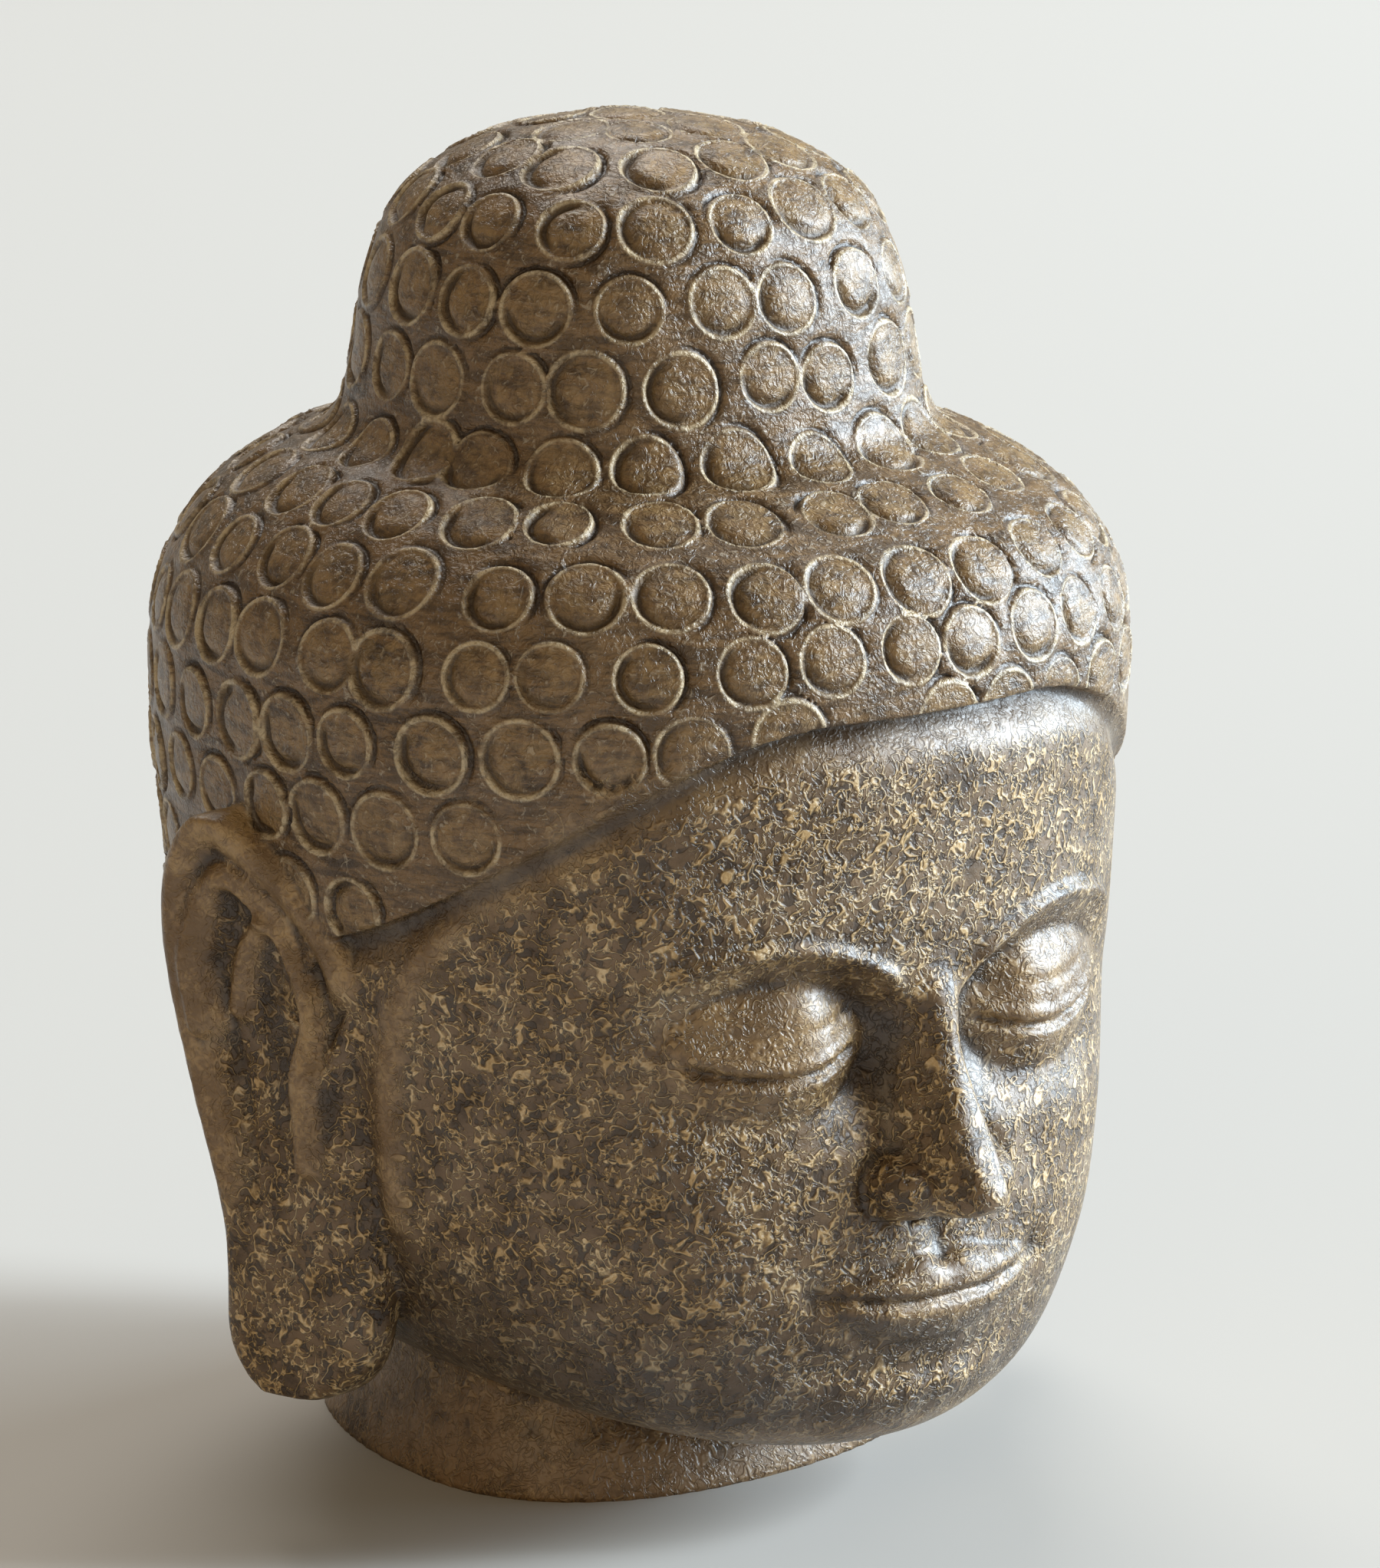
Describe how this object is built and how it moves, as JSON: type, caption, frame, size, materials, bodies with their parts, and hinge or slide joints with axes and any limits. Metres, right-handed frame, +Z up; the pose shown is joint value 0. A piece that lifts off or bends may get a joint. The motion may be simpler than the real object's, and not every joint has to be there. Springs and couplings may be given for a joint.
{
  "type": "stone buddha head",
  "caption": "Carved stone Buddha head with a calm face, long ears, round curls and a domed topknot, standing on its short neck.",
  "frame": {"origin": "middle of the flat underside of the neck", "axes": "+Z up to the crown, -Y the way the face looks, +X towards the head's own left ear"},
  "size_m": [0.2324, 0.2341, 0.3],
  "materials": {
    "stone": "brown stone with a worn satin wax sheen, rough worm-like tooling on the face, pale dust in the cuts"
  },
  "bodies": {
    "root": {"buddha_head": "stone"}
  },
  "joints": []
}
